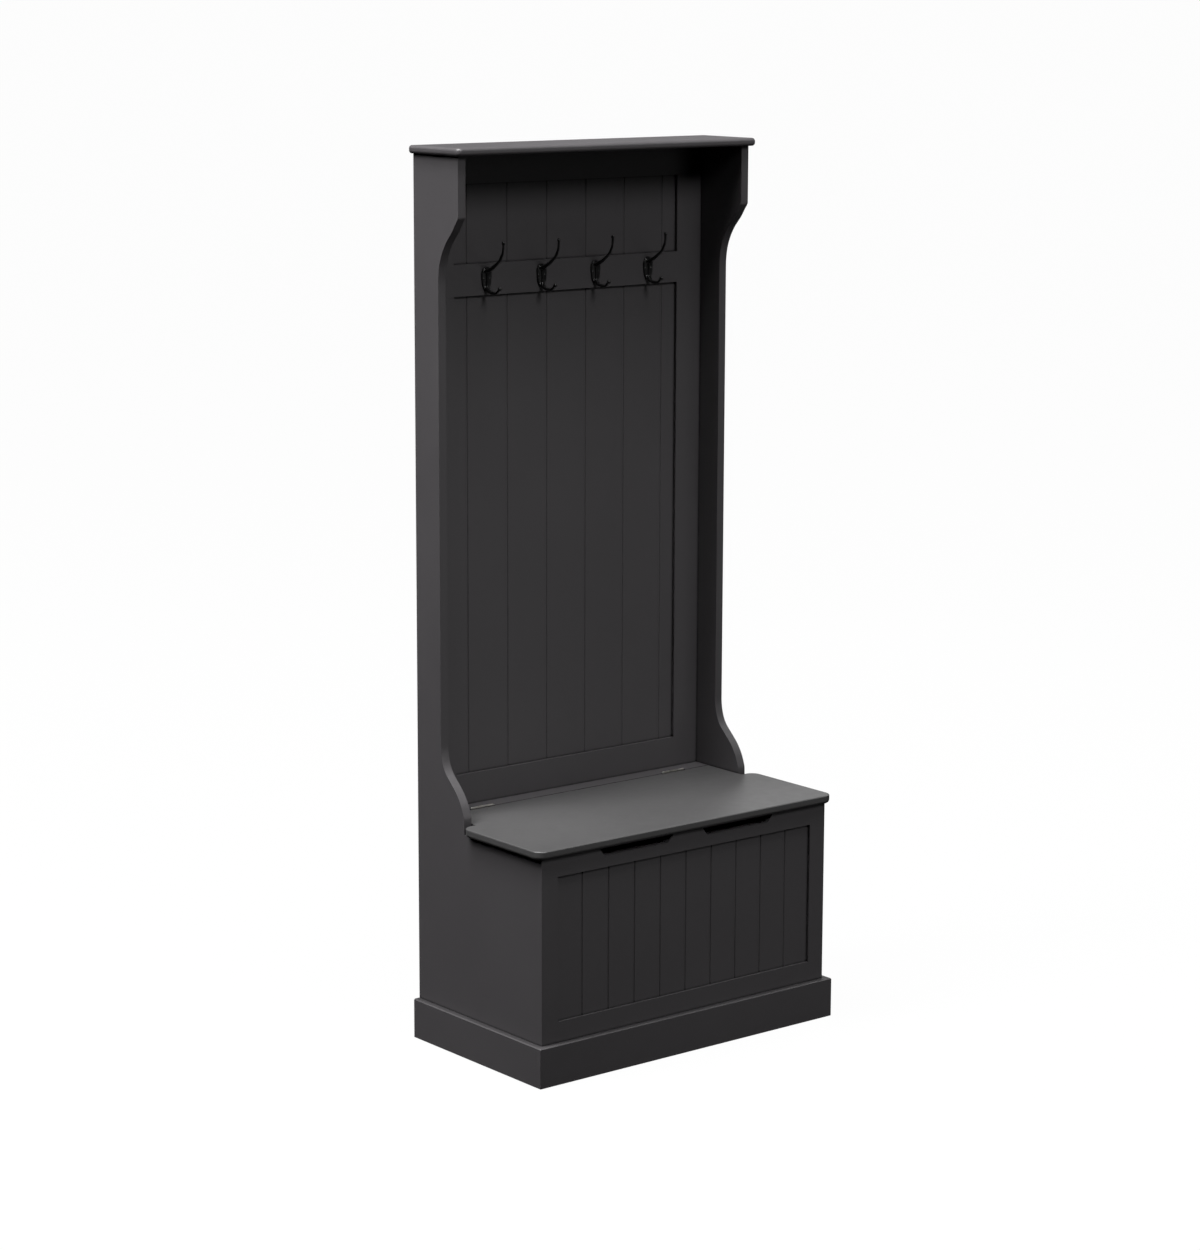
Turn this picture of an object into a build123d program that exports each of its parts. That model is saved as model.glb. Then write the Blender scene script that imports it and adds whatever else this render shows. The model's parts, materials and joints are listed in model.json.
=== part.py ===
from build123d import *
import os
from math import cos, sin, radians, sqrt

# Hall tree: a storage bench with a hinged seat lid, and above it a tall open
# back with shaped side panels, a beadboard back, a hook rail with four cast
# double coat hooks and a top board.  Units are millimetres.
# Frame: origin at the bottom centre of the overall box, +Z up, the front of
# the bench faces -Y, the back (wall side) faces +Y.

os.makedirs("parts", exist_ok=True)

# ---------------------------------------------------------------- dimensions
H = 1800.0            # overall height
DEPTH = 419.0         # overall depth, back plane to plinth front
YB = DEPTH / 2        # y of the back plane
T = 18.0              # board thickness
XS = 368.0            # outer face of the side boards
XI = XS - T           # inner face of the side boards
GL = 1.5              # height of the floor glides
D_BOX = 405.0         # back plane to the front face of the front frame
Z_BOX = 454.8         # top of the bench carcass

# plinth (skirting) round front and sides
PL_T = 14.0
PL_X = 382.0
PL_Z = 82.5
PL_CH = 1.8           # chamfer along the top outer edge

# seat
LID_Z0 = 456.0        # underside of the lid and of the rear strip
LID_Z1 = 474.0        # seat height
LID_X = 383.0         # half width of the lid in front of the side panels
LID_XR = 348.4        # half width of the lid between the side panels
LID_Y1 = 416.0        # front edge, from the back plane
LID_YN = 166.0        # where the wide front part starts
LID_YR = 61.0         # rear edge of the lid
LID_R = 22.0          # plan radius of the lid's corners
LID_NOSE = 7.5        # rounding of the lid's lower edges
LID_TOP = 2.6         # rounding of its upper edges
STRIP_Y = 58.0        # front edge of the fixed rear strip

# butt hinges
HG_Y = 59.5           # hinge axis, from the back plane
HG_Z = 475.8          # hinge axis height
HG_R = 2.5            # knuckle radius
HG_PIN = 1.5          # pin radius
HG_CLR = 0.05         # pin to knuckle radial clearance
HG_L = 55.0           # length of a hinge
HG_T = 1.2            # leaf thickness
HG_H = 15.6           # height of a leaf below the axis
HG_X = 251.0          # centre of each hinge from the middle
HG_GAP = 0.4          # gap between knuckles

# side panels of the upper part
TB_Z0 = 1784.0        # underside of the top board
TB_X = 378.0          # half width of the top board
TB_Y = 160.0          # depth of the top board
TB_R = 10.0           # plan radius of its front corners
TB_NOSE = 6.5         # rounding of its edges
Y_TOP = 145.0         # depth of a side panel at the top
Y_MID = 79.0          # depth of a side panel along the middle
Y_BOT = 155.5         # depth of a side panel at the bottom

# back: beadboard with a frame planted on its front
BP_T = 12.0           # beadboard thickness
BF_T = 7.0            # frame board thickness
BF_XI = 285.7         # inner edge of the back stiles
Z_BR = 537.0          # top of the bottom rail
Z_TR = 1722.0         # underside of the top rail
Z_HR0, Z_HR1 = 1502.2, 1565.2   # hook rail
GR_W, GR_D = 3.4, 1.2           # V groove of the back
BACK_GROOVES = [-250, -150, -50, 50, 150, 250]

# front frame and beadboard
FF_XI = 328.0         # inner edge of the front stiles
FF_Z0, FF_Z1 = 124.3, 415.8     # opening
FF_Y = 5.5            # how far the beadboard is set back
FP_T = 9.0            # its thickness
FG_W, FG_D = 3.8, 1.7           # V groove of the front
FF_REB = 8.0          # how far the beadboard reaches into the frame
FRONT_GROOVES = [-264, -198, -132, -66, 0, 66, 132, 198, 264]
PULL_IN, PULL_OUT = 38.0, 225.0     # finger pull, inner and outer end at top
PULL_Z = 439.0                      # bottom of a finger pull
PULL_SLOPE = 13.0                   # how far the ends lean in

# coat hooks
HOOK_X = [-207.0, -69.0, 69.0, 207.0]
HOOK_Z = 1533.0
HK_R = 2.9


def blk(x0, x1, y0, y1, z0, z1):
    """Box from corner to corner; y is counted from the back plane, to the
    front positive, so y0 is the face nearer the wall."""
    return Pos((x0 + x1) / 2, YB - (y0 + y1) / 2, (z0 + z1) / 2) * Box(
        x1 - x0, abs(y1 - y0), z1 - z0)


def ycyl(x, y0, y1, z, r):
    """Cylinder along Y."""
    return Pos(x, YB - (y0 + y1) / 2, z) * Rot(90, 0, 0) * Cylinder(r, abs(y1 - y0))


def xcyl(x0, x1, y, z, r):
    """Cylinder along X."""
    return Pos((x0 + x1) / 2, YB - y, z) * Rot(0, 90, 0) * Cylinder(r, x1 - x0)


def zcyl(x, y, z0, z1, r):
    """Cylinder along Z."""
    return Pos(x, YB - y, (z0 + z1) / 2) * Cylinder(r, z1 - z0)


def save(name, thing):
    solids = thing if isinstance(thing, list) else list(thing.solids())
    if len(solids) == 1:
        out = solids[0]
    else:
        out = Compound(children=solids)
    out.label = name
    export_step(out, "parts/%s.step" % name)


def grooves(part, xs, y_face, z0, z1, gw, gd):
    """Cut vertical V grooves of width gw and depth gd into a front face."""
    for x in xs:
        with BuildSketch(Plane.XY) as sk:
            with BuildLine():
                Polyline((x - gw, YB - y_face - gd), (x + gw, YB - y_face - gd),
                         (x, YB - y_face + gd), close=True)
            make_face()
        part = part - Pos(0, 0, z0 - 1) * extrude(sk.sketch, z1 - z0 + 2)
    return part


# ---------------------------------------------------------------- dowel places
# (x0, x1 or z0, z1 runs are blind holes in the two boards that they join)
side_dowels = [(sx * (XS - T / 2), y, Z_BOX - 18, Z_BOX + 18) for sx in (-1, 1) for y in (29, 80, 125)]
top_dowels = [(sx * (XS - T / 2), y, TB_Z0 - 22, TB_Z0 + 9) for sx in (-1, 1) for y in (35, 105)]
strip_dowels = [(sx, y) for sx in (-1, 1) for y in (16.0, 42.0)]
frame_dowels = [(sx, z) for sx in (-1, 1) for z in (82.0, 102.0, 436.0)]
Y_FD = D_BOX - 11.0 + 2.0      # dowel line of the front frame, from the back

R_D = 4.0                      # dowel radius
DOWEL_SIDE = [zcyl(x, y, z0, z1, R_D) for x, y, z0, z1 in side_dowels]
DOWEL_TOP = [zcyl(x, y, z0, z1, R_D) for x, y, z0, z1 in top_dowels]
DOWEL_STRIP = [xcyl(min(sx * (XI - 16), sx * (XI + 12)), max(sx * (XI - 16), sx * (XI + 12)), y, (LID_Z0 + LID_Z1) / 2, R_D)
               for sx, y in strip_dowels]
DOWEL_FRAME = [xcyl(min(sx * (FF_XI - 18), sx * (FF_XI + 18)), max(sx * (FF_XI - 18), sx * (FF_XI + 18)), Y_FD, z, R_D)
               for sx, z in frame_dowels]

# ---------------------------------------------------------------- bench sides
for name, sx in (("box_side_left", -1), ("box_side_right", 1)):
    a, b = sorted((sx * XI, sx * XS))
    side = blk(a, b, 0, D_BOX - T, GL, Z_BOX)
    for d in DOWEL_SIDE:
        side = side - d
    save(name, side)

# ---------------------------------------------------------------- front frame
z_fr0 = 60.0
panel_blank = blk(-FF_XI - FF_REB, FF_XI + FF_REB, D_BOX - FF_Y - FP_T, D_BOX - FF_Y,
                  FF_Z0 - FF_REB, FF_Z1 + FF_REB)
for name, sx in (("front_stile_left", -1), ("front_stile_right", 1)):
    a, b = sorted((sx * FF_XI, sx * XS))
    st = blk(a, b, D_BOX - T, D_BOX, GL, Z_BOX) - panel_blank
    for d in DOWEL_FRAME:
        st = st - d
    save(name, st)

top_rail = blk(-FF_XI, FF_XI, D_BOX - T, D_BOX, FF_Z1, Z_BOX) - panel_blank
for d in DOWEL_FRAME:
    top_rail = top_rail - d
for sx in (-1, 1):
    # finger pull: a shallow trapezoid in the top edge, with rounded corners
    with BuildSketch(Plane.XZ) as sk:
        with BuildLine():
            FilletPolyline((sx * PULL_IN, Z_BOX + 5), (sx * PULL_IN, Z_BOX - 0.01),
                           (sx * (PULL_IN + PULL_SLOPE), PULL_Z),
                           (sx * (PULL_OUT - PULL_SLOPE), PULL_Z),
                           (sx * PULL_OUT, Z_BOX - 0.01), (sx * PULL_OUT, Z_BOX + 5),
                           radius=[2.0, 9.0, 9.0, 2.0])
            Line((sx * PULL_OUT, Z_BOX + 5), (sx * PULL_IN, Z_BOX + 5))
        make_face()
    cut = extrude(sk.sketch, 30, both=True)
    top_rail = top_rail - Pos(0, YB - D_BOX + T / 2, 0) * cut
save("front_top_rail", top_rail)

bot_rail = blk(-FF_XI, FF_XI, D_BOX - T, D_BOX, z_fr0, FF_Z0) - panel_blank
for d in DOWEL_FRAME:
    bot_rail = bot_rail - d
save("front_bottom_rail", bot_rail)

save("front_panel", grooves(panel_blank, FRONT_GROOVES, D_BOX - FF_Y, FF_Z0 - FF_REB, FF_Z1 + FF_REB, FG_W, FG_D))

# ---------------------------------------------------------------- bench inside
BOX_BACK_T = 9.0
save("box_back", blk(-XI, XI, 0, BOX_BACK_T, GL, LID_Z0))
FLOOR_Z0, FLOOR_T = 64.0, 15.0
save("box_floor", blk(-XI, XI, BOX_BACK_T, D_BOX - T, FLOOR_Z0, FLOOR_Z0 + FLOOR_T)
     - blk(-XI, XI, D_BOX - T, D_BOX, 0, 100))
for name, sx in (("floor_cleat_left", -1), ("floor_cleat_right", 1)):
    a, b = sorted((sx * XI, sx * (XI - 20)))
    save(name, blk(a, b, BOX_BACK_T + 4, D_BOX - T - 4, FLOOR_Z0 - 20, FLOOR_Z0))

# ---------------------------------------------------------------- plinth
pf = blk(-PL_X, PL_X, D_BOX, D_BOX + PL_T, GL, PL_Z)
e = [k for k in pf.edges() if abs(k.center().Z - PL_Z) < 1e-6 and
     (abs(k.center().Y - (YB - D_BOX - PL_T)) < 1e-6 or abs(abs(k.center().X) - PL_X) < 1e-6)]
pf = chamfer(e, PL_CH)
save("plinth_front", pf)
for name, sx in (("plinth_left", -1), ("plinth_right", 1)):
    a, b = sorted((sx * XS, sx * PL_X))
    ps = blk(a, b, 0, D_BOX, GL, PL_Z)
    e = [k for k in ps.edges() if abs(k.center().Z - PL_Z) < 1e-6 and abs(abs(k.center().X) - PL_X) < 1e-6]
    ps = chamfer(e, PL_CH)
    save(name, ps)

save("floor_glides", [zcyl(sx * (XS - T / 2), y, 0, GL, 8.0) for sx in (-1, 1) for y in (25, 370)])

# ---------------------------------------------------------------- rear strip
strip = blk(-XI, XI, 0, STRIP_Y, LID_Z0, LID_Z1)
for d in DOWEL_STRIP:
    strip = strip - d

# ---------------------------------------------------------------- seat lid
with BuildSketch(Plane.XY) as lid_sk:
    with BuildLine():
        pts = [(-LID_XR, YB - LID_YR), (-LID_XR, YB - LID_YN), (-LID_X, YB - LID_YN),
               (-LID_X, YB - LID_Y1), (LID_X, YB - LID_Y1), (LID_X, YB - LID_YN),
               (LID_XR, YB - LID_YN), (LID_XR, YB - LID_YR)]
        Polyline(*pts, close=True)
    make_face()
    cor = [v for v in lid_sk.vertices() if abs(abs(v.X) - LID_X) < 1e-6]
    fillet(cor, LID_R)
lid = Pos(0, 0, LID_Z0) * extrude(lid_sk.sketch, LID_Z1 - LID_Z0)
for z_e, r_e in ((LID_Z0, LID_NOSE), (LID_Z1, LID_TOP)):
    nose = []
    for k in lid.edges():
        c = k.center()
        if abs(c.Z - z_e) < 1e-6:
            if c.Y < YB - LID_YN - 1.0 or (abs(c.X) > LID_X - 12 and abs(c.Y - (YB - LID_YN)) < 12):
                nose.append(k)
    lid = fillet(nose, r_e)

# ---------------------------------------------------------------- hinges
def knuckle_run(i):
    """x run of knuckle i of 5, counted from the hinge's left end."""
    w = HG_L / 5
    return (-HG_L / 2 + i * w + (HG_GAP / 2 if i else 0),
            -HG_L / 2 + (i + 1) * w - (HG_GAP / 2 if i < 4 else 0))


def leaf(xc, side):
    """A hinge leaf with its knuckles. side +1: fixed leaf (towards the wall),
    -1: lid leaf."""
    y_in = HG_Y - side * 0.3            # face next to the other leaf
    y_out = HG_Y - side * (0.3 + HG_T)  # face on the board
    ya, yb = sorted((y_in, y_out))
    mine = (0, 2, 4) if side > 0 else (1, 3)
    part = blk(xc - HG_L / 2, xc + HG_L / 2, ya, yb, HG_Z - HG_R - 0.4 - HG_H + 3, HG_Z - HG_R - 0.4)
    for i in mine:
        a, b = knuckle_run(i)
        part = part + blk(xc + a, xc + b, ya, yb, HG_Z - HG_R - 0.5, HG_Z - 0.8)
        part = part + xcyl(xc + a, xc + b, HG_Y, HG_Z, HG_R)
    for i in range(5):
        a, b = knuckle_run(i)
        if i not in mine:
            part = part - xcyl(xc + a - HG_GAP, xc + b + HG_GAP, HG_Y, HG_Z, HG_R + 0.35)
    part = part - xcyl(xc - HG_L, xc + HG_L, HG_Y, HG_Z, HG_PIN + HG_CLR)
    return part


SCREW_Z = HG_Z - 9.6
SCREW_DX = (-19.0, 0.0, 19.0)


def hinge_screw(x, side):
    """Countersunk screw, head flush with the leaf's face, into the board."""
    y_in = HG_Y - side * 0.3
    y_end = y_in - side * 15.0
    head = Pos(x, YB - (y_in - side * HG_T / 2), SCREW_Z) * Rot(90 * side, 0, 0) * Cone(1.5, 2.7, HG_T)
    return head + ycyl(x, y_in - side * (HG_T - 0.05), y_end, SCREW_Z, 1.5)


fixed_screws, lid_screws = [], []
for name, sx in (("left", -1), ("right", 1)):
    xc = sx * HG_X
    lf, ll = leaf(xc, 1), leaf(xc, -1)
    for dx in SCREW_DX:
        sf, sl = hinge_screw(xc + dx, 1), hinge_screw(xc + dx, -1)
        lf, ll = lf - sf, ll - sl
        strip, lid = strip - sf, lid - sl
        fixed_screws.append(sf.solids()[0])
        lid_screws.append(sl.solids()[0])
    save("hinge_%s_fixed_leaf" % name, lf)
    save("hinge_%s_lid_leaf" % name, ll)
    pin = xcyl(xc - HG_L / 2 - 0.8, xc + HG_L / 2 + 0.8, HG_Y, HG_Z, HG_PIN)
    for s in (-1, 1):
        a, b = sorted((xc + s * (HG_L / 2 + 0.3), xc + s * (HG_L / 2 + 1.6)))
        cap = xcyl(a, b, HG_Y, HG_Z, 2.2)
        pin = pin + cap
    ends = [k for k in pin.edges().filter_by(GeomType.CIRCLE)
            if abs(abs(k.center().X - xc) - (HG_L / 2 + 1.6)) < 1e-6]
    pin = fillet(ends, 0.9)
    save("hinge_%s_pin" % name, pin)
    # rebates for the knuckles in the strip and in the lid
    gain = blk(xc - HG_L / 2 - 2.2, xc + HG_L / 2 + 2.2, HG_Y - HG_R - 0.6, HG_Y + HG_R + 0.6,
               HG_Z - HG_R - 0.6, LID_Z1 + 1)
    strip, lid = strip - gain, lid - gain
save("hinge_screws_fixed", fixed_screws)
save("hinge_screws_lid", lid_screws)
save("rear_strip", strip)
save("seat_lid", lid)

save("lid_bumpers", [zcyl(sx * 348.0, D_BOX - T / 2, Z_BOX, Z_BOX + 0.9, 5.0) for sx in (-1, 1)])

# ---------------------------------------------------------------- side panels
# front edge of a side panel, from the top down: (depth from the back, height)
S_TOP = [(137.5, 1657.0), (126.0, 1640.5), (110.0, 1623.0), (97.5, 1606.0), (88.5, 1588.5),
         (82.5, 1570.0), (79.8, 1552.0)]
S_BOT = [(80.4, 604.0), (83.6, 590.0), (89.3, 576.0), (97.5, 564.8), (108.0, 554.8), (120.0, 543.8),
         (131.3, 532.2), (140.8, 519.2), (148.2, 505.6), (153.2, 492.0)]
with BuildSketch(Plane.YZ) as sp_sk:
    with BuildLine():
        Line((YB, Z_BOX), (YB, TB_Z0))
        Line((YB, TB_Z0), (YB - Y_TOP, TB_Z0))
        Line((YB - Y_TOP, TB_Z0), (YB - Y_TOP, 1668.0))
        Spline(*([(YB - Y_TOP, 1668.0)] + [(YB - y, z) for y, z in S_TOP] + [(YB - Y_MID, 1535.0)]),
               tangents=[(0.42, -1.0), (0, -1)])
        Line((YB - Y_MID, 1535.0), (YB - Y_MID, 620.0))
        Spline(*([(YB - Y_MID, 620.0)] + [(YB - y, z) for y, z in S_BOT] + [(YB - Y_BOT, 476.0)]),
               tangents=[(0, -1), (0, -1)])
        Line((YB - Y_BOT, 476.0), (YB - Y_BOT, Z_BOX))
        Line((YB - Y_BOT, Z_BOX), (YB, Z_BOX))
    make_face()
for name, sx in (("side_panel_left", -1), ("side_panel_right", 1)):
    sp = Pos(min(sx * XI, sx * XS), 0, 0) * extrude(sp_sk.sketch, T)
    for d in DOWEL_SIDE + DOWEL_TOP + DOWEL_STRIP:
        sp = sp - d
    save(name, sp)

# ---------------------------------------------------------------- top board
tb = blk(-TB_X, TB_X, 0, TB_Y, TB_Z0, H)
tb = fillet([k for k in tb.edges().filter_by(Axis.Z) if k.center().Y < YB - TB_Y / 2], TB_R)
e = [k for k in tb.edges() if (abs(k.center().Z - TB_Z0) < 1e-6 or abs(k.center().Z - H) < 1e-6)
     and k.center().Y < YB - 1]
tb = fillet(e, TB_NOSE)
for d in DOWEL_TOP:
    tb = tb - d
# pilot holes for the anti-tip straps, in the rear edge
TIP_X, TIP_R, TIP_L = 200.0, 1.75, 24.0
for sx in (-1, 1):
    tb = tb - ycyl(sx * TIP_X, 0, TIP_L, (TB_Z0 + H) / 2, TIP_R)
save("top_board", tb)

# ---------------------------------------------------------------- back
back = blk(-XI, XI, 0, BP_T, LID_Z1, TB_Z0)
back = grooves(back, BACK_GROOVES, BP_T, LID_Z1, TB_Z0, GR_W, GR_D)


def back_screw(x, z):
    """Countersunk screw from behind, flush with the back."""
    head = Pos(x, YB - 1.0, z) * Rot(90, 0, 0) * Cone(3.4, 1.75, 2.0)
    return head + ycyl(x, 1.9, 15.0, z, 1.75)


xs_st = (XI + BF_XI) / 2
BACK_SCREWS = [(sx * xs_st, z) for sx in (-1, 1) for z in (506.0, 800.0, 1100.0, 1400.0, 1753.0)]
BACK_SCREWS += [(x, 506.0) for x in (-100.0, 100.0)] + [(x, 1753.0) for x in (-100.0, 100.0)]
BACK_SCREWS += [(x, 1535.0) for x in (-138.0, 0.0, 138.0)]
bscrews = [back_screw(x, z) for x, z in BACK_SCREWS]

stiles = []
for sx in (-1, 1):
    a, b = sorted((sx * BF_XI, sx * XI))
    stiles.append(blk(a, b, BP_T, BP_T + BF_T, LID_Z1, TB_Z0))
bot = blk(-BF_XI, BF_XI, BP_T, BP_T + BF_T, LID_Z1, Z_BR)
topr = blk(-BF_XI, BF_XI, BP_T, BP_T + BF_T, Z_TR, TB_Z0)
hookr = blk(-BF_XI, BF_XI, BP_T, BP_T + BF_T, Z_HR0, Z_HR1)

# ---------------------------------------------------------------- coat hooks
FACE = BP_T + BF_T      # the hook rail's front face, from the back plane


def coat_hook(x):
    """Cast double hook: waisted back plate with a spine, a long upper prong
    that sweeps out and up, and a short lower prong that curls up."""
    with BuildSketch(Plane.XZ) as pl:
        with BuildLine():
            Spline((0, 24.5), (8.5, 21.0), (12.3, 11.0), (11.6, 0), (10.2, -11.0), (6.0, -20.5), (0, -24.5),
                   tangents=[(1, 0), (-1, 0)])
            Spline((0, -24.5), (-6.0, -20.5), (-10.2, -11.0), (-11.6, 0), (-12.3, 11.0), (-8.5, 21.0), (0, 24.5),
                   tangents=[(-1, 0), (1, 0)])
        make_face()
    plate = extrude(pl.sketch, 3.0)          # towards -Y
    spine = Pos(0, -4.0, -0.5) * Box(6.0, 4.0, 38.0)
    spine = fillet(spine.edges().filter_by(Axis.Z).group_by(Axis.Y)[0], 1.8)

    def prong(pts, radii, r0):
        with BuildLine() as path:
            FilletPolyline(*[(0, -p, z) for p, z in pts], radius=radii)
        w = path.wires()[0]
        sec = Plane(origin=w @ 0, z_dir=w % 0) * Circle(r0)
        return sweep(sec, path=w)

    up_pts = [(2.2, 15.4), (24.0, 25.0), (46.0, 40.0), (56.0, 58.0), (56.8, 75.0)]
    up = prong(up_pts, [30.0, 34.0, 22.0], HK_R)
    lo_pts = [(2.8, -16.8), (12.0, -25.0), (33.0, -26.0), (44.5, -16.0)]
    lo = prong(lo_pts, [12.0, 14.0], HK_R)
    hook = plate + spine + up + lo
    hook = hook + Pos(0, -56.8, 75.0) * Sphere(3.6) + Pos(0, -44.5, -16.0) * Sphere(4.0)
    for s in (-1, 1):
        cs = Pos(s * 7.6, -2.2, 1.5) * Rot(90, 0, 0) * Cone(1.6, 2.6, 1.7)
        hook = hook - (Pos(s * 7.6, -1.5, 1.5) * Rot(90, 0, 0) * Cylinder(1.6, 6.0) + cs)
    hook = Pos(x, YB - FACE, HOOK_Z) * hook
    return hook


def hook_screw(x, z):
    """Raised countersunk screw that holds a hook to its rail."""
    cs = Pos(x, YB - FACE - 2.2, z) * Rot(90, 0, 0) * Cone(1.6, 2.6, 1.7)
    dome = Pos(x, YB - FACE - 3.3, z) * Rot(90, 0, 0) * Cylinder(2.5, 0.6)
    shank = ycyl(x, FACE + 2.9, FACE - 12.0, z, 1.6)
    return cs + dome + shank


hscrews = []
for i, x in enumerate(HOOK_X):
    hk = coat_hook(x)
    for s in (-1, 1):
        sc = hook_screw(x + s * 7.6, HOOK_Z + 1.5)
        hscrews.append(sc)
        hookr = hookr - sc
        back = back - sc
    save("coat_hook_%d" % (i + 1), hk)
save("hook_screws", [s.solids()[0] for s in hscrews])

for b in bscrews:
    back = back - b
    stiles = [s - b for s in stiles]
    bot, topr, hookr = bot - b, topr - b, hookr - b
save("back_screws", [b.solids()[0] for b in bscrews])
save("back_panel", back)
save("back_stile_left", stiles[0])
save("back_stile_right", stiles[1])
save("back_bottom_rail", bot)
save("back_top_rail", topr)
save("hook_rail", hookr)

# ---------------------------------------------------------------- dowels
save("dowels_side_panels", [d.solids()[0] for d in DOWEL_SIDE])
save("dowels_top_board", [d.solids()[0] for d in DOWEL_TOP])
save("dowels_rear_strip", [d.solids()[0] for d in DOWEL_STRIP])
save("dowels_front_frame", [d.solids()[0] for d in DOWEL_FRAME])
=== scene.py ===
import bpy
import bmesh
import json
import math
import numpy as np
from mathutils import Matrix, Vector


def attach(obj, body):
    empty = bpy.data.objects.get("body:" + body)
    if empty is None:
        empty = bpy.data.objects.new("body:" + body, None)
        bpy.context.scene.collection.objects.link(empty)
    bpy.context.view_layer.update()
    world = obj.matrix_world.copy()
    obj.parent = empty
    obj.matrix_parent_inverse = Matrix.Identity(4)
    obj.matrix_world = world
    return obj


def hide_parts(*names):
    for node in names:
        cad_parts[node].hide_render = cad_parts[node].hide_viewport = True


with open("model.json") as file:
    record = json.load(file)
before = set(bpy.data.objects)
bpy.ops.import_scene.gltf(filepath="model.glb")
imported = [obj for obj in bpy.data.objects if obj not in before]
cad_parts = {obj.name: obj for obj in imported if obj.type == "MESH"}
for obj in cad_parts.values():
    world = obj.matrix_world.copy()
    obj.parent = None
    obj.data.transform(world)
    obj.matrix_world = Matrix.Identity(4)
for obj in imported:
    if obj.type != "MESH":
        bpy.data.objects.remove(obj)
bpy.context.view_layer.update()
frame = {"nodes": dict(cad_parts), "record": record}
NODES = frame["nodes"]
scene = bpy.context.scene
COLL = scene.collection

# ------------------------------------------------------------------ camera
# position in metres in the row frame, then yaw to the right of +Y, pitch down
# and a trace of roll
YAW, PITCH, ROLL = 0.67779, 0.19077, 0.00311
cam_data = bpy.data.cameras.new("camera")
cam = bpy.data.objects.new("camera", cam_data)
COLL.objects.link(cam)
d = Vector((math.sin(YAW) * math.cos(PITCH), math.cos(YAW) * math.cos(PITCH), -math.sin(PITCH)))
right = d.cross(Vector((0, 0, 1))).normalized()
up = right.cross(d)
r2 = math.cos(ROLL) * right + math.sin(ROLL) * up
u2 = -math.sin(ROLL) * right + math.cos(ROLL) * up
cam.matrix_world = Matrix(((r2.x, u2.x, -d.x, -4.15972), (r2.y, u2.y, -d.y, -5.08188),
                           (r2.z, u2.z, -d.z, 2.11003), (0, 0, 0, 1)))
cam_data.sensor_fit = "AUTO"
cam_data.sensor_width = 36.0
cam_data.lens = 95.84
cam_data.clip_start, cam_data.clip_end = 0.05, 200.0
scene.camera = cam
scene.view_settings.view_transform = "Standard"
scene.view_settings.look = "None"
scene.view_settings.exposure = 0.0
scene.view_settings.gamma = 1.0


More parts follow.
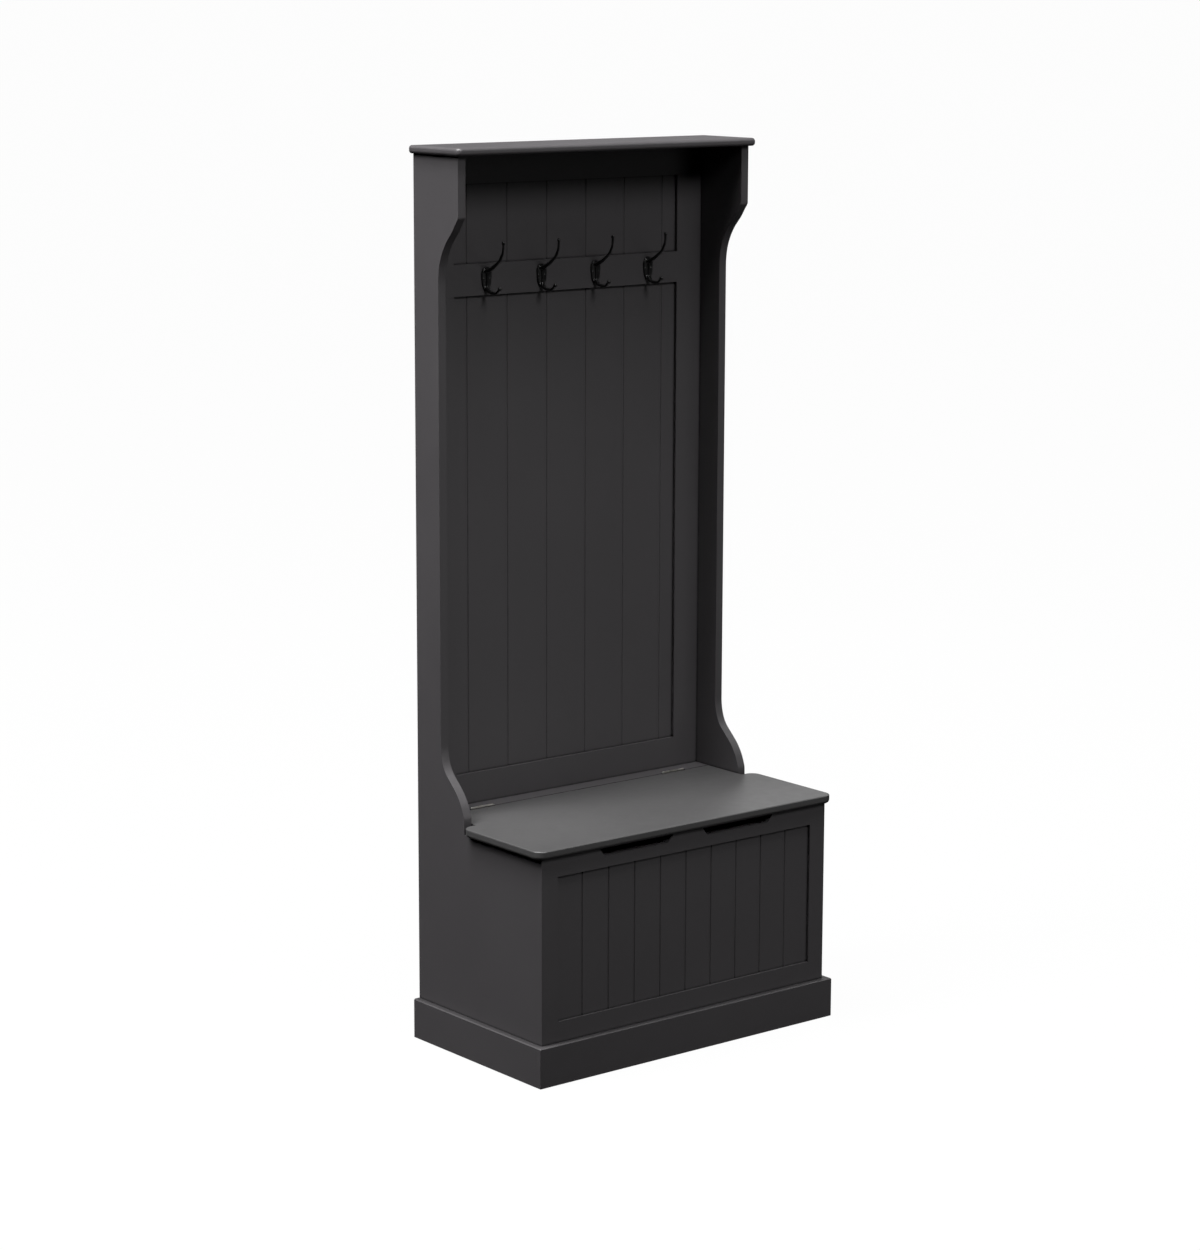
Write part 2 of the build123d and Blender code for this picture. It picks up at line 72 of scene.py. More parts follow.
# ------------------------------------------------------------------ node helpers
class Tree:
    """Short calls for building a node material."""

    def __init__(self, name):
        self.mat = bpy.data.materials.new(name)
        self.mat.use_nodes = True
        self.nt = self.mat.node_tree
        self.nt.nodes.clear()
        self.out = self.add("ShaderNodeOutputMaterial")
        self.bsdf = self.add("ShaderNodeBsdfPrincipled")
        self.link(self.bsdf.outputs["BSDF"], self.out.inputs["Surface"])
        tc = self.add("ShaderNodeTexCoord")
        self.co = tc.outputs["Object"]

    def add(self, kind, **kw):
        n = self.nt.nodes.new(kind)
        for k, v in kw.items():
            setattr(n, k, v)
        return n

    def link(self, a, b):
        self.nt.links.new(a, b)

    def mapping(self, scale, rot=(0, 0, 0), src=None):
        n = self.add("ShaderNodeMapping")
        n.inputs["Scale"].default_value = scale
        n.inputs["Rotation"].default_value = rot
        self.link(src or self.co, n.inputs["Vector"])
        return n.outputs["Vector"]

    def noise(self, scale, detail=3.0, rough=0.5, vec=None, distortion=0.0):
        n = self.add("ShaderNodeTexNoise")
        n.inputs["Scale"].default_value = scale
        n.inputs["Detail"].default_value = detail
        n.inputs["Roughness"].default_value = rough
        n.inputs["Distortion"].default_value = distortion
        self.link(vec or self.co, n.inputs["Vector"])
        return n.outputs["Fac"]

    def voronoi(self, scale, vec=None, feature="F1"):
        n = self.add("ShaderNodeTexVoronoi", feature=feature)
        n.inputs["Scale"].default_value = scale
        self.link(vec or self.co, n.inputs["Vector"])
        return n.outputs["Distance"]

    def math(self, op, a, b=None, clamp=False):
        n = self.add("ShaderNodeMath", operation=op, use_clamp=clamp)
        for i, v in enumerate((a, b)):
            if v is None:
                continue
            if isinstance(v, (int, float)):
                n.inputs[i].default_value = v
            else:
                self.link(v, n.inputs[i])
        return n.outputs[0]

    def span(self, v, f0, f1, t0, t1):
        n = self.add("ShaderNodeMapRange")
        for k, x in (("From Min", f0), ("From Max", f1), ("To Min", t0), ("To Max", t1)):
            n.inputs[k].default_value = x
        self.link(v, n.inputs["Value"])
        return n.outputs["Result"]

    def ramp(self, v, stops, interp="LINEAR"):
        n = self.add("ShaderNodeValToRGB")
        n.color_ramp.interpolation = interp
        el = n.color_ramp.elements
        while len(el) < len(stops):
            el.new(0.5)
        for e, (p, c) in zip(el, stops):
            e.position = p
            e.color = (c[0], c[1], c[2], 1.0)
        self.link(v, n.inputs["Fac"])
        return n.outputs["Color"]

    def mix(self, fac, a, b, blend="MIX"):
        n = self.add("ShaderNodeMix", data_type="RGBA", blend_type=blend)
        for sock, v in ((n.inputs[0], fac), (n.inputs[6], a), (n.inputs[7], b)):
            if isinstance(v, (int, float)):
                sock.default_value = v
            elif isinstance(v, (tuple, list)):
                sock.default_value = (v[0], v[1], v[2], 1.0)
            else:
                self.link(v, sock)
        return n.outputs[2]

    def bump(self, height, strength, distance, normal=None):
        n = self.add("ShaderNodeBump")
        n.inputs["Strength"].default_value = strength
        n.inputs["Distance"].default_value = distance
        self.link(height, n.inputs["Height"])
        if normal is not None:
            self.link(normal, n.inputs["Normal"])
        return n.outputs["Normal"]

    def set(self, **kw):
        for k, v in kw.items():
            self.bsdf.inputs[k.replace("_", " ")].default_value = v

    def to(self, name, src):
        self.link(src, self.bsdf.inputs[name])


def tint(c, k):
    return tuple(max(0.0, x * k) for x in c)


# ------------------------------------------------------------------ materials
PAINT = (0.0490, 0.0462, 0.0488)


def paint_material(name, base, rough, peel=1.0, grain=0.0, crevice_shade_reach=0.0065, floor=False):
    """Sprayed satin paint on board: faint mottling, light dust specks, orange peel, a soft sheen
    that varies over the surface, painted shade that darkens the colour and the sheen in inner
    corners and recesses and, where asked for, painted shade that darkens it towards the floor."""
    t = Tree(name)
    broad = t.noise(3.2, 3.0, 0.55)
    fine = t.noise(42.0, 4.0, 0.6)
    dust = t.noise(420.0, 2.0, 0.7)
    c = t.ramp(broad, [(0.30, tint(base, 0.955)), (0.52, base), (0.72, tint(base, 1.045))])
    c = t.mix(t.span(fine, 0.35, 0.7, 0.0, 0.30), c, tint(base, 1.10))
    c = t.mix(t.span(dust, 0.62, 0.80, 0.0, 0.22), c, tint(base, 1.55))
    # painted shade: ambient occlusion darkens the base colour in inner corners, crevices and recesses, where shadow
    # falls
    ao = t.add("ShaderNodeAmbientOcclusion", samples=6)
    ao.inputs["Distance"].default_value = crevice_shade_reach
    shade = t.ramp(ao.outputs["AO"], [(0.40, (0.16, 0.16, 0.16)), (0.62, (0.58, 0.58, 0.58)), (0.86, (1.0, 1.0, 1.0))])
    c = t.mix(1.0, c, shade, "MULTIPLY")
    # painted shade: with floor set, ambient occlusion over 75 mm darkens the colour towards the floor and nearby parts
    if floor:
        low = t.add("ShaderNodeAmbientOcclusion", samples=6)
        low.inputs["Distance"].default_value = 0.075
        c = t.mix(1.0, c, t.ramp(low.outputs["AO"], [(0.5, (0.45, 0.45, 0.45)), (0.95, (1.0, 1.0, 1.0))]), "MULTIPLY")
    t.to("Base Color", c)
    r = t.math("ADD", t.span(broad, 0.3, 0.7, rough - 0.025, rough + 0.03), t.span(fine, 0.3, 0.7, -0.02, 0.03))
    t.to("Roughness", r)
    # painted shade on the sheen: the specular level drops where ambient occlusion finds inner corners and recesses
    t.to("Specular IOR Level", t.span(ao.outputs["AO"], 0.4, 0.8, 0.12, 0.5))
    orange = t.noise(310.0, 2.0, 0.45)
    wide = t.noise(55.0, 2.0, 0.5)
    n = t.bump(wide, 0.10 * peel, 0.0006)
    n = t.bump(orange, 0.16 * peel, 0.00012, n)
    if grain > 0:
        fibre = t.noise(900.0, 3.0, 0.7)
        n = t.bump(fibre, grain, 0.00008, n)
    t.to("Normal", n)
    t.set(IOR=1.48)
    return t.mat


def hook_material():
    """Black painted casting: pitted by the sand mould, slightly worn on the
    raised places."""
    t = Tree("cast_black")
    big = t.noise(120.0, 4.0, 0.6)
    pits = t.voronoi(900.0)
    c = t.ramp(big, [(0.25, (0.0050, 0.0050, 0.0052)), (0.6, (0.0080, 0.0079, 0.0080)), (0.85, (0.016, 0.0155, 0.0155))])
    t.to("Base Color", c)
    t.to("Roughness", t.span(big, 0.25, 0.75, 0.25, 0.37))
    n = t.bump(big, 0.25, 0.0003)
    n = t.bump(pits, 0.15, 0.00012, n)
    t.to("Normal", n)
    t.set(Metallic=0.0, IOR=1.5)
    return t.mat


def metal_material(name, base, rough, stretch=(1.0, 1.0, 1.0), spots=0.0):
    """Plated steel with a drawn grain."""
    t = Tree(name)
    v = t.mapping(stretch)
    drawn = t.noise(700.0, 3.0, 0.6, v)
    cloud = t.noise(90.0, 3.0, 0.5)
    c = t.ramp(cloud, [(0.3, tint(base, 0.90)), (0.7, tint(base, 1.06))])
    c = t.mix(t.span(drawn, 0.4, 0.75, 0.0, 0.25), c, tint(base, 0.80))
    if spots > 0:
        c = t.mix(t.span(t.noise(240.0, 2.0), 0.62, 0.70, 0.0, spots), c, (0.20, 0.19, 0.17))
    t.to("Base Color", c)
    t.to("Roughness", t.math("ADD", t.span(drawn, 0.3, 0.7, rough - 0.05, rough + 0.08),
                             t.span(cloud, 0.3, 0.7, -0.03, 0.03)))
    t.to("Normal", t.bump(drawn, 0.20, 0.00005))
    t.set(Metallic=1.0)
    return t.mat


def beech_material():
    """Raw beech with its grain along the dowel and short dark flecks."""
    t = Tree("beech")
    grain = t.noise(60.0, 6.0, 0.6, t.mapping((1.0, 9.0, 9.0)), 0.6)
    fleck = t.noise(600.0, 2.0, 0.5, t.mapping((0.25, 1.0, 1.0)))
    c = t.ramp(grain, [(0.3, (0.52, 0.34, 0.20)), (0.7, (0.66, 0.47, 0.30))])
    c = t.mix(t.span(fleck, 0.62, 0.75, 0.0, 0.6), c, (0.36, 0.21, 0.11))
    t.to("Base Color", c)
    t.to("Roughness", t.span(grain, 0.3, 0.7, 0.55, 0.70))
    t.to("Normal", t.bump(grain, 0.25, 0.0002))
    return t.mat


def plastic_material(name, base, rough):
    """Moulded plastic or rubber with a spark-eroded skin."""
    t = Tree(name)
    skin = t.noise(1400.0, 3.0, 0.6)
    cloud = t.noise(60.0, 2.0)
    t.to("Base Color", t.ramp(cloud, [(0.3, tint(base, 0.9)), (0.7, tint(base, 1.1))]))
    t.to("Roughness", t.span(skin, 0.3, 0.7, rough - 0.06, rough + 0.08))
    t.to("Normal", t.bump(skin, 0.25, 0.00006))
    return t.mat


M_PAINT = paint_material("paint_charcoal", PAINT, 0.46)
M_SEAT = paint_material("paint_seat", (0.0480, 0.0474, 0.0478), 0.44, peel=0.9)
# plinth paint carries painted shade that darkens it towards the floor
M_PLINTH = paint_material("paint_plinth", PAINT, 0.46, floor=True)
M_HIDDEN = paint_material("paint_inside", tint(PAINT, 0.92), 0.58, peel=0.7, grain=0.2)
M_HOOK = hook_material()
M_NICKEL = metal_material("satin_nickel", (0.66, 0.64, 0.60), 0.30, (0.08, 1.0, 1.0))
M_ZINC = metal_material("zinc", (0.62, 0.63, 0.64), 0.34, (1.0, 1.0, 1.0), 0.3)
M_BSCREW = hook_material()
M_BSCREW.name = "screw_black"
M_BEECH = beech_material()
M_GLIDE = plastic_material("glide_plastic", (0.035, 0.035, 0.036), 0.5)
M_RUBBER = plastic_material("bumper_rubber", (0.03, 0.03, 0.03), 0.65)

SLOT_MAT = {"charcoal_paint": M_PAINT, "charcoal_paint_seat": M_SEAT, "black_cast_metal": M_HOOK,
            "black_screw": M_BSCREW, "satin_nickel": M_NICKEL, "zinc_screw": M_ZINC, "beech_dowel": M_BEECH,
            "glide_plastic": M_GLIDE, "bumper_rubber": M_RUBBER}
slot_of = {s["node"]: s["material_slot"] for s in frame["record"]["subparts"]}
INSIDE = {"box_back", "box_floor", "floor_cleat_left", "floor_cleat_right"}


def dress(o, mat):
    o.data.materials.clear()
    o.data.materials.append(mat)


for n, o in NODES.items():
    m = SLOT_MAT[slot_of[n]]
    if n in INSIDE:
        m = M_HIDDEN
    elif n.startswith("plinth"):
        m = M_PLINTH
    dress(o, m)


# ------------------------------------------------------------------ softened edges
def soften(name, width, segments=2, angle=32.0):
    """A real board has eased arrises: weld the mesh, round its sharp edges and
    shade its faces flat with weighted normals."""
    o = NODES[name]
    w = o.modifiers.new("weld", "WELD")
    w.merge_threshold = 2e-6
    b = o.modifiers.new("ease", "BEVEL")
    b.width = width
    b.segments = segments
    b.limit_method = "ANGLE"
    b.angle_limit = math.radians(angle)
    b.use_clamp_overlap = True
    b.harden_normals = False
    b.miter_outer = "MITER_ARC"
    wn = o.modifiers.new("normals", "WEIGHTED_NORMAL")
    wn.keep_sharp = False
    wn.weight = 60


EASE = {
    "side_panel_left": 0.0014, "side_panel_right": 0.0014, "box_side_left": 0.0015, "box_side_right": 0.0015,
    "front_stile_left": 0.0016, "front_stile_right": 0.0016, "front_top_rail": 0.0012, "front_bottom_rail": 0.0012,
    "back_stile_left": 0.0013, "back_stile_right": 0.0013, "back_top_rail": 0.0011, "back_bottom_rail": 0.0011,
    "hook_rail": 0.0012, "front_panel": 0.0003, "back_panel": 0.0003, "box_back": 0.0005, "box_floor": 0.0005,
    "floor_cleat_left": 0.0008, "floor_cleat_right": 0.0008, "plinth_front": 0.0005, "plinth_left": 0.0005,
    "plinth_right": 0.0005, "rear_strip": 0.0006, "seat_lid": 0.0004, "top_board": 0.0004,
    "floor_glides": 0.0003, "lid_bumpers": 0.0003,
}
for n, w in EASE.items():
    soften(n, w)
for n in ("hinge_left_fixed_leaf", "hinge_left_lid_leaf", "hinge_right_fixed_leaf", "hinge_right_lid_leaf"):
    soften(n, 0.00018, 2)
for n in ("hinge_left_pin", "hinge_right_pin"):
    soften(n, 0.00015, 2)


# ------------------------------------------------------------------ mesh helpers
def obj_from_bm(name, bm, mat, body, smooth=True):
    me = bpy.data.meshes.new(name)
    bm.normal_update()
    bm.to_mesh(me)
    bm.free()
    for p in me.polygons:
        p.use_smooth = smooth
    o = bpy.data.objects.new(name, me)
    COLL.objects.link(o)
    me.materials.append(mat)
    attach(o, body)
    return o


# ------------------------------------------------------------------ coat hooks
# Each cast hook is one skin: a signed distance built from the plate, its rim
# and spine, two tapering prongs and their knobs, blended as a casting is, then
# turned into quads.  Local axes in mm: x across, p out of the rail, z up.
FACE_Y = 0.2095 - 0.019
HOOK_X = (-207.0, -69.0, 69.0, 207.0)
HOOK_Z = 1533.0


def fillet_path(pts, radii, step=4):
    """Points along a polyline whose corners are rounded."""
    pts = [np.array(q, float) for q in pts]
    out = [pts[0]]
    for i in range(1, len(pts) - 1):
        a, b, c = pts[i - 1], pts[i], pts[i + 1]
        u, v = (a - b), (c - b)
        lu, lv = np.linalg.norm(u), np.linalg.norm(v)
        u, v = u / lu, v / lv
        turn = math.pi - math.acos(max(-1.0, min(1.0, float(u @ v))))
        t = min(radii[i - 1] * math.tan(turn / 2), 0.48 * lu, 0.48 * lv)
        p0, p1 = b + u * t, b + v * t
        for k in range(step + 1):
            w = k / step
            out.append((1 - w) ** 2 * p0 + 2 * w * (1 - w) * b + w * w * p1)
    out.append(pts[-1])
    return out


def smin(a, b, k):
    h = np.clip(0.5 + 0.5 * (b - a) / k, 0.0, 1.0)
    return b * (1 - h) + a * h - k * h * (1 - h)


def tube(X, P, Z, path, radii, squash_x=1.0):
    """Distance to a tapering rod in the x = 0 plane. radii: (share of the
    length, radius); squash_x > 1 makes it wider across than it is thick."""
    d = [0.0]
    for a, b in zip(path, path[1:]):
        d.append(d[-1] + float(np.linalg.norm(b - a)))
    total = d[-1]
    rs = np.interp([q / total for q in d], [q[0] for q in radii], [q[1] for q in radii])
    sq = np.interp([q / total for q in d], [0.0, 0.35, 1.0], [squash_x, 1.0 + (squash_x - 1.0) * 0.35, 1.0])
    best = None
    for i, (a, b) in enumerate(zip(path, path[1:])):
        ab = b - a
        t = np.clip(((P - a[0]) * ab[0] + (Z - a[1]) * ab[1]) / float(ab @ ab), 0.0, 1.0)
        s = sq[i] + (sq[i + 1] - sq[i]) * t
        q = np.sqrt((X / s) ** 2 + (P - a[0] - ab[0] * t) ** 2 + (Z - a[1] - ab[1] * t) ** 2)
        q = q - (rs[i] + (rs[i + 1] - rs[i]) * t)
        best = q if best is None else np.minimum(best, q)
    return best


# half width of the plate against height: full at the top, waisted lower down
PLATE = [(-24.5, 0.0), (-24.0, 2.3), (-22.6, 4.4), (-20.5, 6.0), (-16.0, 8.3), (-11.0, 10.2), (-5.0, 11.2), (0.0, 11.6),
         (5.5, 12.1), (11.0, 12.3), (16.0, 11.4), (21.0, 8.5), (23.4, 5.2), (24.3, 2.6), (24.5, 0.0)]
UPPER = fillet_path([(2.2, 15.4), (24.0, 25.0), (46.0, 40.0), (56.0, 58.0), (56.8, 75.0)], [30.0, 34.0, 22.0])
LOWER = fillet_path([(2.8, -16.8), (12.0, -25.0), (33.0, -26.0), (44.5, -16.0)], [12.0, 14.0])


def plate_2d(X, Z):
    """Signed distance to the plate's outline."""
    zz = [q[0] for q in PLATE]
    ww = [q[1] for q in PLATE]
    ring = [(w, z) for z, w in PLATE]
    ax = np.abs(X)
    best = None
    for (x0, z0), (x1, z1) in zip(ring, ring[1:]):
        dx, dz = x1 - x0, z1 - z0
        t = np.clip(((ax - x0) * dx + (Z - z0) * dz) / (dx * dx + dz * dz), 0.0, 1.0)
        q = np.hypot(ax - x0 - dx * t, Z - z0 - dz * t)
        best = q if best is None else np.minimum(best, q)
    inside = (ax < np.interp(Z, zz, ww)) & (Z > zz[0]) & (Z < zz[-1])
    return np.where(inside, -best, best)


def hook_distance(X, P, Z):
    d2 = plate_2d(X, Z)
    r = 0.7
    # the plate's face is slightly crowned
    crown = 2.55 + 0.45 * np.clip(-d2 / 9.0, 0.0, 1.0)
    q1 = d2 + r
    q2 = np.abs(P - crown / 2) - crown / 2 + r
    plate = np.minimum(np.maximum(q1, q2), 0.0) + np.hypot(np.maximum(q1, 0), np.maximum(q2, 0)) - r
    rim = np.hypot(d2 + 1.5, P - 2.55) - 0.75
    d = smin(plate, rim, 0.5)
    spine = tube(X, P, Z, [np.array((2.9, -17.5)), np.array((3.6, 0.0)), np.array((2.9, 16.0))],
                 [(0.0, 2.9), (0.5, 2.2), (1.0, 3.2)])
    d = smin(d, spine, 1.1)
    up = tube(X, P, Z, UPPER, [(0.0, 4.1), (0.22, 3.5), (0.5, 2.75), (0.8, 2.3), (1.0, 2.1)], 1.55)
    d = smin(d, up, 1.8)
    low = tube(X, P, Z, LOWER, [(0.0, 3.9), (0.3, 3.2), (0.7, 2.6), (1.0, 2.4)], 1.35)
    d = smin(d, low, 1.6)
    d = smin(d, np.sqrt(X ** 2 + (P - 56.8) ** 2 + (Z - 75.0) ** 2) - 3.5, 0.9)
    d = smin(d, np.sqrt(X ** 2 + (P - 44.5) ** 2 + (Z + 16.0) ** 2) - 4.0, 0.9)
    for s in (-1, 1):
        rr = np.hypot(X - s * 7.6, Z - 1.5)
        # countersunk seats for the two screws
        d = np.maximum(d, -(np.maximum(rr - (1.65 + np.clip(P - 1.35, 0.0, 1.7) * 0.59), -P - 1.0)))
    # nothing behind the rail's face
    return np.maximum(d, -P)


def surface_nets(f, lo, hi, h):
    """Quads of the surface f = 0 inside a box, one vertex to a cell."""
    lo = np.array(lo, float)
    n = [int(math.ceil((hi[k] - lo[k]) / h)) + 1 for k in range(3)]
    ax = [lo[k] + h * np.arange(n[k]) for k in range(3)]
    V = f(*np.meshgrid(*ax, indexing="ij"))
    S = V < 0
    c = tuple(m - 1 for m in n)
    acc = np.zeros(c + (3,))
    cnt = np.zeros(c)

    def corner(A, o):
        return A[o[0]:o[0] + c[0], o[1]:o[1] + c[1], o[2]:o[2] + c[2]]

    for k in range(3):
        i, j = [m for m in range(3) if m != k]
        for oi in (0, 1):
            for oj in (0, 1):
                o = [0, 0, 0]
                o[i], o[j] = oi, oj
                e = list(o)
                e[k] = 1
                a, b = corner(V, o), corner(V, e)
                cross = (a < 0) != (b < 0)
                t = np.where(cross, a / np.where(cross, a - b, 1.0), 0.0)
                acc[..., i] += np.where(cross, oi, 0)
                acc[..., j] += np.where(cross, oj, 0)
                acc[..., k] += t
                cnt += cross
    act = cnt > 0
    idx = -np.ones(c, dtype=np.int64)
    idx[act] = np.arange(int(act.sum()))
    cells = np.argwhere(act)
    verts = lo + h * (cells + acc[act] / cnt[act][:, None])
    faces = []
    for k in range(3):
        i, j = (k + 1) % 3, (k + 2) % 3
        s0 = [slice(1, -1)] * 3
        s1 = [slice(1, -1)] * 3
        s0[k], s1[k] = slice(0, -1), slice(1, None)
        a, b = S[tuple(s0)], S[tuple(s1)]
        for flip, hit in ((False, a & ~b), (True, ~a & b)):
            q = np.argwhere(hit)
            if not len(q):
                continue
            base = q.copy()
            base[:, i] += 1
            base[:, j] += 1
            ring = []
            for di, dj in ((-1, -1), (0, -1), (0, 0), (-1, 0)):
                m = base.copy()
                m[:, i] += di
                m[:, j] += dj
                ring.append(idx[m[:, 0], m[:, 1], m[:, 2]])
            ring = np.stack(ring, 1)
            faces.append(ring[:, ::-1] if flip else ring)
    return verts, np.concatenate(faces)


def settle(f, v, rounds=3, eps=0.02):
    """Moves vertices onto f = 0 along its slope."""
    for _ in range(rounds):
        x, y, z = v.T
        d0 = f(x, y, z)
        g = np.stack([(f(x + eps, y, z) - f(x - eps, y, z)), (f(x, y + eps, z) - f(x, y - eps, z)),
                      (f(x, y, z + eps) - f(x, y, z - eps))], 1) / (2 * eps)
        l = np.maximum((g ** 2).sum(1), 0.2)
        v = v - np.clip(d0 / l, -0.3, 0.3)[:, None] * g
    return v


hook_v, hook_f = surface_nets(hook_distance, (-13.9, -1.0, -31.0), (13.9, 62.4, 80.2), 0.62)
hook_v = settle(hook_distance, hook_v)
for i, hx in enumerate(HOOK_X):
    vs = [((hx + a) * 0.001, FACE_Y - b * 0.001, (HOOK_Z + c) * 0.001) for a, b, c in hook_v.tolist()]
    # the frame's Y runs against p, so the faces are turned over
    me = bpy.data.meshes.new("coat_hook_%d_cast" % (i + 1))
    me.from_pydata(vs, [], [list(reversed(q)) for q in hook_f.tolist()])
    me.update()
    for pl in me.polygons:
        pl.use_smooth = True
    o = bpy.data.objects.new("coat_hook_%d_cast" % (i + 1), me)
    COLL.objects.link(o)
    me.materials.append(M_HOOK)
    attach(o, "carcass")
    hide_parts("coat_hook_%d" % (i + 1))


# ------------------------------------------------------------------ screws
def lathe(bm, prof, segs=28):
    """Closed solid of revolution about +Z from (radius, height) pairs."""
    rings = []
    for r, z in prof:
        if r < 1e-9:
            rings.append([bm.verts.new((0, 0, z))])
        else:
            rings.append([bm.verts.new((r * math.cos(2 * math.pi * k / segs), r * math.sin(2 * math.pi * k / segs), z))
                          for k in range(segs)])
    for a, b in zip(rings, rings[1:]):
        for k in range(segs):
            m = (k + 1) % segs
            if len(a) == 1:
                bm.faces.new((a[0], b[m], b[k]))
            elif len(b) == 1:
                bm.faces.new((a[k], a[m], b[0]))
            else:
                bm.faces.new((a[k], a[m], b[m], b[k]))
    bmesh.ops.recalc_face_normals(bm, faces=bm.faces)


def temp_object(bm, name):
    me = bpy.data.meshes.new(name)
    bm.to_mesh(me)
    bm.free()
    o = bpy.data.objects.new(name, me)
    COLL.objects.link(o)
    return o


def screw_mesh(name, prof, recess_r, recess_d, top):
    """A screw along +Z with its head up and a cross recess cut in it."""
    bm = bmesh.new()
    lathe(bm, prof)
    body = temp_object(bm, name)
    bm = bmesh.new()
    w = recess_r * 0.26
    pts = []
    for k in range(4):
        a = math.pi / 2 * k
        u = (math.cos(a), math.sin(a))
        v = (-u[1], u[0])
        pts += [(w * u[0] - w * v[0], w * u[1] - w * v[1]),
                (recess_r * u[0] - w * v[0], recess_r * u[1] - w * v[1]),
                (recess_r * u[0] + w * v[0], recess_r * u[1] + w * v[1])]
    lo = [bm.verts.new((x * 0.55, y * 0.55, top - recess_d)) for x, y in pts]
    hi = [bm.verts.new((x * 1.06, y * 1.06, top + 0.6)) for x, y in pts]
    for k in range(12):
        m = (k + 1) % 12
        bm.faces.new((lo[k], lo[m], hi[m], hi[k]))
    bm.faces.new(list(reversed(lo)))
    bm.faces.new(hi)
    bmesh.ops.recalc_face_normals(bm, faces=bm.faces)
    cut = temp_object(bm, name + "_cut")
    m = body.modifiers.new("cut", "BOOLEAN")
    m.operation = "DIFFERENCE"
    m.solver = "EXACT"
    m.object = cut
    bpy.context.view_layer.update()
    dg = bpy.context.evaluated_depsgraph_get()
    me = bpy.data.meshes.new_from_object(body.evaluated_get(dg))
    for o in (cut, body):
        old = o.data
        bpy.data.objects.remove(o)
        bpy.data.meshes.remove(old)
    return me


def place_screws(name, mesh, places, axis, mat, body, node):
    """Copies of one screw joined in a piece; axis is where its head points."""
    bm = bmesh.new()
    q = Vector(axis).to_track_quat("Z", "Y").to_matrix().to_4x4()
    for k, (x, y, z) in enumerate(places):
        turn = Matrix.Rotation(0.61 * (k * k + 1), 4, "Z")
        t = Matrix.Translation((x * 0.001, y * 0.001, z * 0.001)) @ q @ turn @ Matrix.Scale(0.001, 4)
        n0 = len(bm.verts)
        bm.from_mesh(mesh)
        bm.verts.ensure_lookup_table()
        bmesh.ops.transform(bm, matrix=t, verts=bm.verts[n0:])
    o = obj_from_bm(name, bm, mat, body, smooth=True)
    o.data.set_sharp_from_angle(angle=math.radians(30))
    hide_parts(node)
    return o


# hook screws: raised countersunk heads, p = 0 at the rail's face
hs = screw_mesh("hook_screw_shape", [(0.0, -11.8), (0.5, -11.0), (1.35, -9.4), (1.55, -8.8), (1.55, 1.4), (2.5, 2.95),
                                     (2.62, 3.05), (2.60, 3.2), (2.2, 3.52), (1.4, 3.72), (0.6, 3.80), (0.0, 3.82)],
                1.55, 1.5, 3.8)
place_screws("hook_screws_detail", hs, [(x + s * 7.6, FACE_Y * 1000, HOOK_Z + 1.5) for x in HOOK_X for s in (-1, 1)],
             (0, -1, 0), M_BSCREW, "carcass", "hook_screws")
# hinge screws: countersunk, flush with the leaves' inner faces
HGY, HGZ, HGX = 150.0, 466.2, 251.0
ls = screw_mesh("hinge_screw_shape", [(0.0, -14.8), (0.4, -14.2), (1.2, -12.2), (1.45, -11.6), (1.45, -1.25), (2.62, -0.10),
                                      (2.66, 0.0), (2.5, 0.06), (1.4, 0.12), (0.0, 0.13)], 1.5, 1.1, 0.1)
places = [(sx * HGX + dx, HGY, HGZ) for sx in (-1, 1) for dx in (-19.0, 0.0, 19.0)]
place_screws("hinge_screws_fixed_detail", ls, [(x, y + 0.36, z) for x, y, z in places], (0, -1, 0), M_ZINC,
             "carcass", "hinge_screws_fixed")
place_screws("hinge_screws_lid_detail", ls, [(x, y - 0.36, z) for x, y, z in places], (0, 1, 0), M_ZINC,
             "lid", "hinge_screws_lid")
# back screws: countersunk heads flush with the back, cross recess
bs = screw_mesh("back_screw_shape", [(0.0, -14.9), (0.5, -14.2), (1.45, -12.0), (1.7, -11.3), (1.7, -1.95), (3.3, -0.15),
                                     (3.36, -0.05), (3.2, 0.0), (0.0, 0.0)], 2.1, 1.6, 0.0)
xs = (350.0 + 285.7) / 2
spots = [(sx * xs, z) for sx in (-1, 1) for z in (506.0, 800.0, 1100.0, 1400.0, 1753.0)]
spots += [(x, 506.0) for x in (-100.0, 100.0)] + [(x, 1753.0) for x in (-100.0, 100.0)]
spots += [(x, 1535.0) for x in (-138.0, 0.0, 138.0)]
place_screws("back_screws_detail", bs, [(x, 209.5, z) for x, z in spots], (0, 1, 0), M_ZINC,
             "carcass", "back_screws")


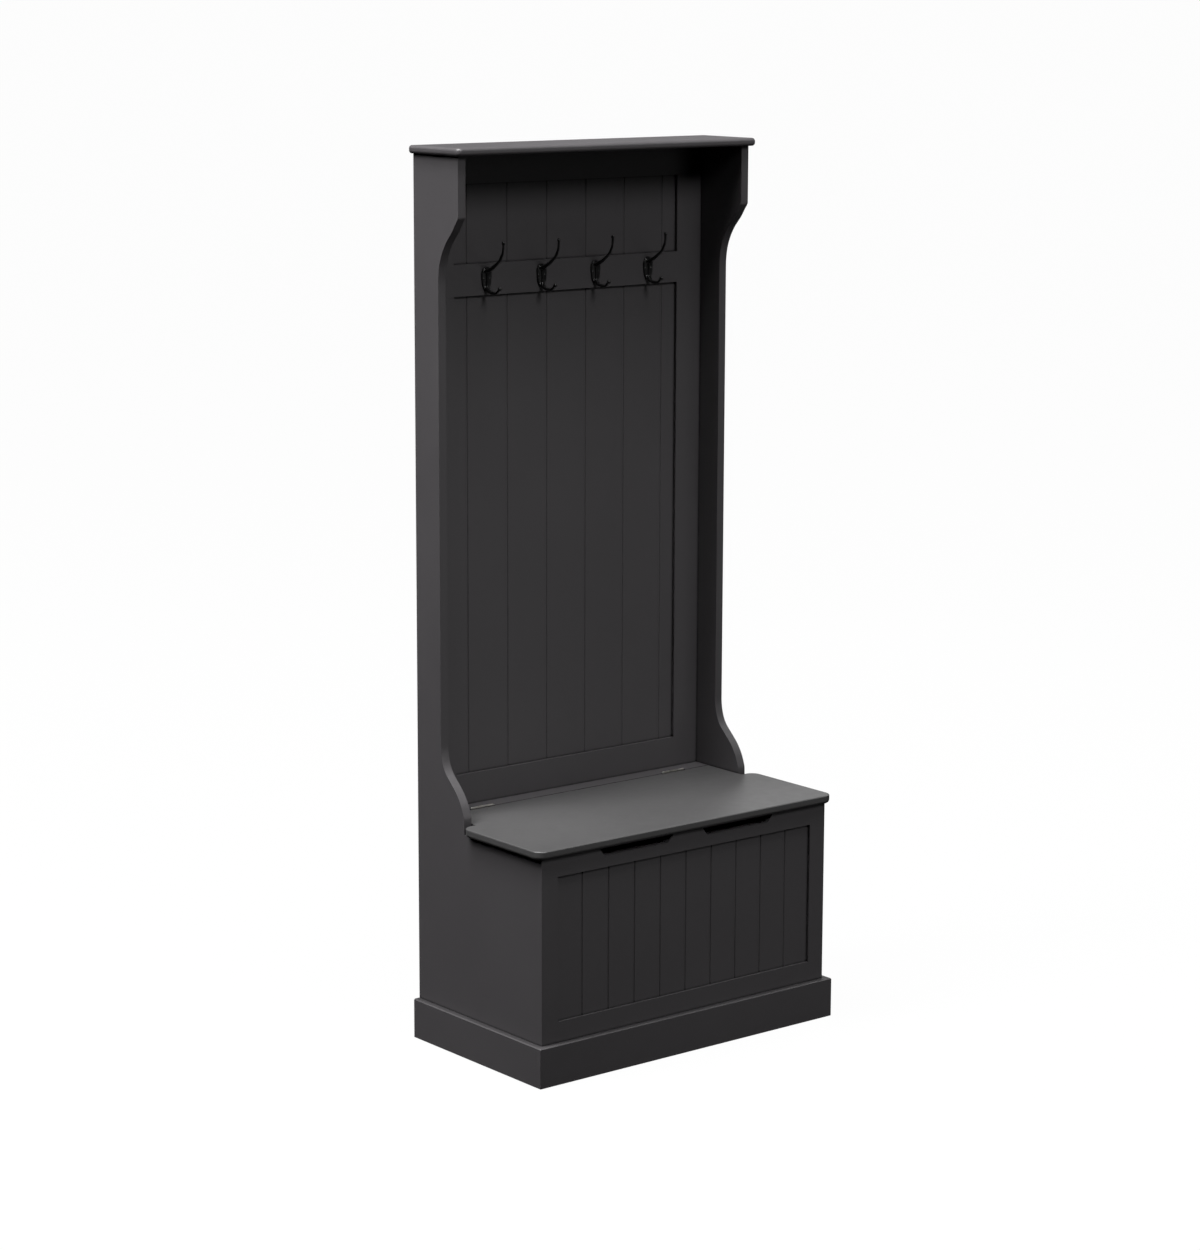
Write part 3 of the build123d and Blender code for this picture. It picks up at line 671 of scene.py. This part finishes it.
# ------------------------------------------------------------------ floor and backdrop
def stage_plane():
    bm = bmesh.new()
    # round floor that sweeps up into a wall on every side, far from the object
    prof = [(6.0, 0.0), (14.0, 0.0), (20.0, 0.0)]
    for i in range(1, 17):
        a = math.radians(90 * i / 16)
        prof.append((20.0 + 10.0 * math.sin(a), 10.0 - 10.0 * math.cos(a)))
    prof.append((30.0, 30.0))
    n = 64
    mid = bm.verts.new((0.0, 0.0, 0.0))
    rows = []
    for r, z in prof:
        rows.append([bm.verts.new((r * math.cos(2 * math.pi * k / n), r * math.sin(2 * math.pi * k / n), z))
                     for k in range(n)])
    for k in range(n):
        bm.faces.new((mid, rows[0][k], rows[0][(k + 1) % n]))
    for a, b in zip(rows, rows[1:]):
        for k in range(n):
            bm.faces.new((a[k], b[k], b[(k + 1) % n], a[(k + 1) % n]))
    me = bpy.data.meshes.new("studio_floor")
    bm.to_mesh(me)
    bm.free()
    for p in me.polygons:
        p.use_smooth = True
    o = bpy.data.objects.new("studio_floor", me)
    COLL.objects.link(o)
    mat = bpy.data.materials.new("studio_white")
    mat.use_nodes = True
    nt = mat.node_tree
    nt.nodes.clear()
    out = nt.nodes.new("ShaderNodeOutputMaterial")
    add = nt.nodes.new("ShaderNodeAddShader")
    em = nt.nodes.new("ShaderNodeEmission")
    em.inputs["Color"].default_value = (1.0, 1.0, 1.0, 1.0)
    em.inputs["Strength"].default_value = 0.978
    di = nt.nodes.new("ShaderNodeBsdfDiffuse")
    di.inputs["Color"].default_value = (0.010, 0.010, 0.010, 1.0)
    nt.links.new(em.outputs[0], add.inputs[0])
    nt.links.new(di.outputs[0], add.inputs[1])
    nt.links.new(add.outputs[0], out.inputs["Surface"])
    me.materials.append(mat)
    o.visible_diffuse = False
    o.visible_glossy = False
    o.visible_shadow = False
    return o


stage_plane()

# ------------------------------------------------------------------ light
# large soft discs, all aimed at the middle of the object
AIM = Vector((0.0, 0.0, 0.9))


def far(azimuth, elevation, dist=7.0):
    """A place seen from the aim point, azimuth from the front to the left."""
    a, e = math.radians(azimuth), math.radians(elevation)
    v = Vector((-math.sin(a) * math.cos(e), -math.cos(a) * math.cos(e), math.sin(e)))
    return AIM + v * dist


# (name, place in metres, diameter, power in watts)
RIG = [
    ("fill_front_low", (1.600, -2.771, 0.3), 1.5, 3.4),
    ("fill_right", (3.2, 0.0, 2.5), 1.5, 19.1),
    ("rim_right_back", (3.2, 3.2, 1.4), 2.0, 9.9),
    ("key_right_low", far(-25, 14), 2.2, 4.8),
    ("key_right_high", far(-50, 72), 2.2, 18.2),
    ("key_front_a", far(0, 40), 2.2, 194.3),
    ("key_front_b", far(0, 72), 2.2, 167.2),
    ("left_front", far(50, 72), 2.2, 240.0),
    ("side_left_a", far(75, 70), 2.2, 9.0),
    ("side_left_b", far(100, 40), 2.2, 191.8),
    ("side_left_c", far(100, 55), 2.2, 520.0),
    ("side_left_d", far(100, 72), 2.2, 480.0),
]
WORLD = 0.0


def area(name, place, size, power):
    p = Vector(place)
    ld = bpy.data.lights.new(name, "AREA")
    ld.shape = "DISK"
    ld.size = size
    ld.energy = power
    lo = bpy.data.objects.new(name, ld)
    COLL.objects.link(lo)
    lo.location = p
    lo.rotation_mode = "QUATERNION"
    lo.rotation_quaternion = (AIM - p).to_track_quat("-Z", "Y")
    lo.visible_camera = False
    return lo


for row in RIG:
    area(*row)
world = bpy.data.worlds.new("studio")
scene.world = world
world.use_nodes = True
bg = world.node_tree.nodes.get("Background")
bg.inputs["Color"].default_value = (1.0, 1.0, 1.0, 1.0)
bg.inputs["Strength"].default_value = WORLD
